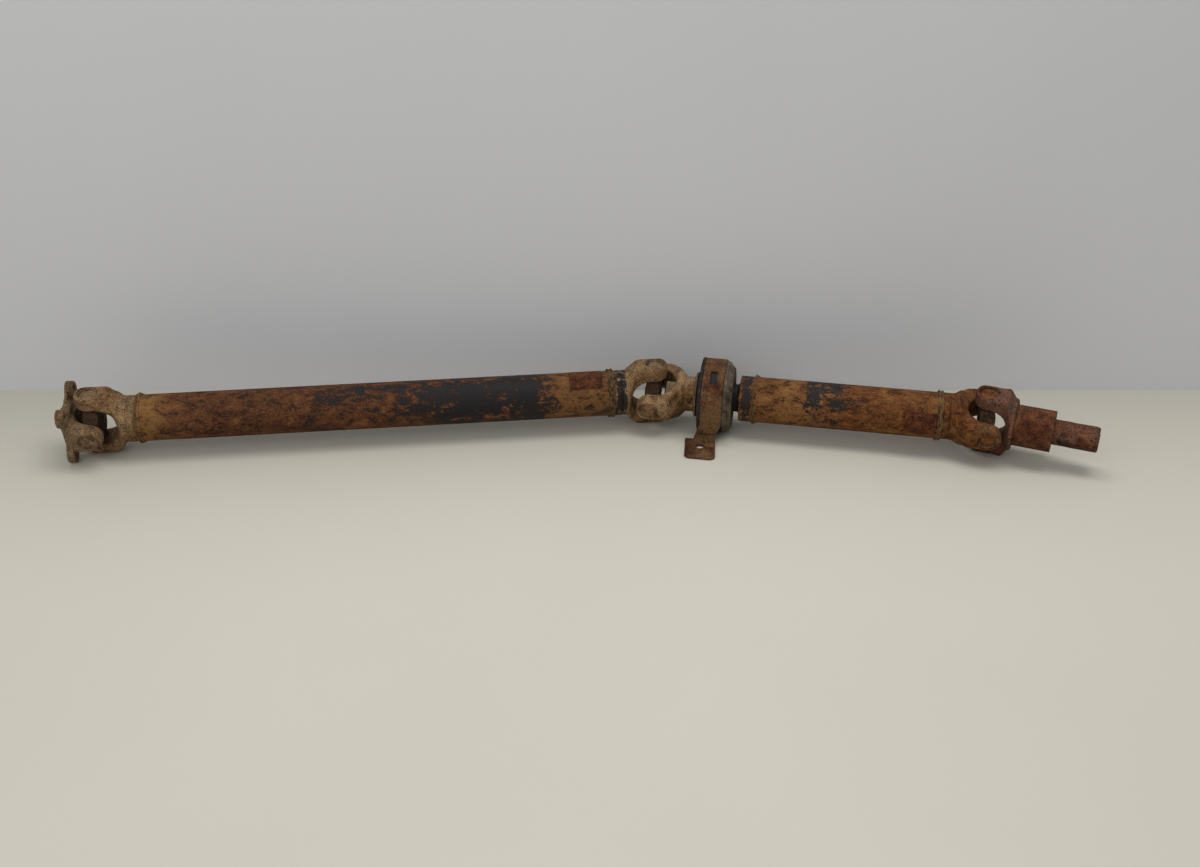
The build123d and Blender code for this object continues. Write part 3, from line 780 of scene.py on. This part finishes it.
weld(
    "rear_aft_weld", "rear_shaft", rear_joint, rear_direction,
    [(0.0625, 0.0042, 0.0024)],
)
weld(
    "rear_fore_weld", "rear_shaft", centre_joint, -rear_direction,
    [(0.0608, 0.0036, 0.0025), (0.0662, 0.0034, 0.0021)],
)
weld(
    "front_aft_weld", "front_shaft", bearing_centre, front_direction,
    [(0.0582, 0.0042, 0.0024)],
)
weld(
    "front_fore_weld", "front_shaft", front_joint, -front_direction,
    [(0.0618, 0.0034, 0.0021), (0.0665, 0.0034, 0.0024)],
)

# Floor and wall, meeting behind the shaft as in the photograph
view_yaw = math.radians(11.1)
view_side = Vector((math.cos(view_yaw), math.sin(view_yaw), 0))
view_ahead = Vector((-math.sin(view_yaw), math.cos(view_yaw), 0))
wall_foot = Vector((-0.179, 0.085, 0))
stage_half_width = 5
floor_reach = 4
wall_height = 0.75


def plain_surface(name, colour):
    """Matt paint with faint broad blotches."""
    nodes = Nodes(name)
    blotches = nodes.noise(1.6, detail=3, rough=0.5)
    shade = tuple(c * 0.97 for c in colour)
    tone = nodes.mix(nodes.between(blotches, 0.3, 0.7), shade, colour)
    return nodes.finish(tone, 0.55, blotches, depth=0.0, strength=0.1)


def clear_from_behind(material):
    """Lets a one-sided sheet be looked through from its back."""
    nodes = material.node_tree.nodes
    links = material.node_tree.links
    clear = nodes.new("ShaderNodeBsdfTransparent")
    side = nodes.new("ShaderNodeNewGeometry")
    mix = nodes.new("ShaderNodeMixShader")
    links.new(side.outputs["Backfacing"], mix.inputs[0])
    links.new(nodes["Principled BSDF"].outputs[0], mix.inputs[1])
    links.new(clear.outputs[0], mix.inputs[2])
    links.new(mix.outputs[0], nodes["Material Output"].inputs["Surface"])


def stage_sheet(name, corners, material):
    mesh = bpy.data.meshes.new(name)
    mesh.from_pydata([tuple(corner) for corner in corners], [], [(0, 1, 2, 3)])
    mesh.materials.append(material)
    sheet = bpy.data.objects.new(name, mesh)
    bpy.context.scene.collection.objects.link(sheet)


floor_colour = plain_surface("floor_cream", (0.55, 0.52, 0.44))
wall_colour = plain_surface("wall_grey", (0.64, 0.64, 0.65))
left_end = wall_foot - view_side * stage_half_width
right_end = wall_foot + view_side * stage_half_width
near = view_ahead * -floor_reach
far = view_ahead * floor_reach
top = Vector((0, 0, wall_height))
clear_from_behind(wall_colour)
stage_sheet(
    "floor", (left_end + far, left_end + near, right_end + near, right_end + far), floor_colour
)
stage_sheet("wall", (left_end, right_end, right_end + top, left_end + top), wall_colour)


# Light and camera
def soft_lamp(name, place, aim, size, power):
    light = bpy.data.lights.new(name, "AREA")
    light.shape = "RECTANGLE"
    light.size, light.size_y = size
    light.energy = power
    lamp = bpy.data.objects.new(name, light)
    lamp.location = place
    lamp.rotation_euler = (Vector(aim) - Vector(place)).to_track_quat("-Z", "Y").to_euler()
    bpy.context.scene.collection.objects.link(lamp)


soft_lamp("ceiling_lamp", place=(0.0, 0.25, 2.3), aim=(-0.1, 0.0, 0), size=(2.6, 0.9), power=36)
soft_lamp("front_lamp", place=(-0.8, -2.2, 1.6), aim=(-0.1, 0, 0.05), size=(2.0, 1.2), power=17)

world = bpy.data.worlds.new("studio_world")
world.use_nodes = True
background = world.node_tree.nodes["Background"]
background.inputs["Color"].default_value = (0.95, 0.97, 1.0, 1)
background.inputs["Strength"].default_value = 0.5
bpy.context.scene.world = world

# Where the camera stood, fitted to the photograph
camera_right_of_joint = 0.230
camera_y = -1.574
camera_above_axis = 0.785
camera_pitch = math.radians(61.7)

camera_data = bpy.data.cameras.new("camera")
camera_data.sensor_width = 36
camera_data.lens = 36.66
camera = bpy.data.objects.new("camera", camera_data)
camera.location = (
    centre_joint.x + camera_right_of_joint, camera_y, bearing_centre.z + camera_above_axis
)
camera.rotation_euler = (camera_pitch, 0, view_yaw)
bpy.context.scene.collection.objects.link(camera)
bpy.context.scene.camera = camera
bpy.context.scene.view_settings.view_transform = "Standard"
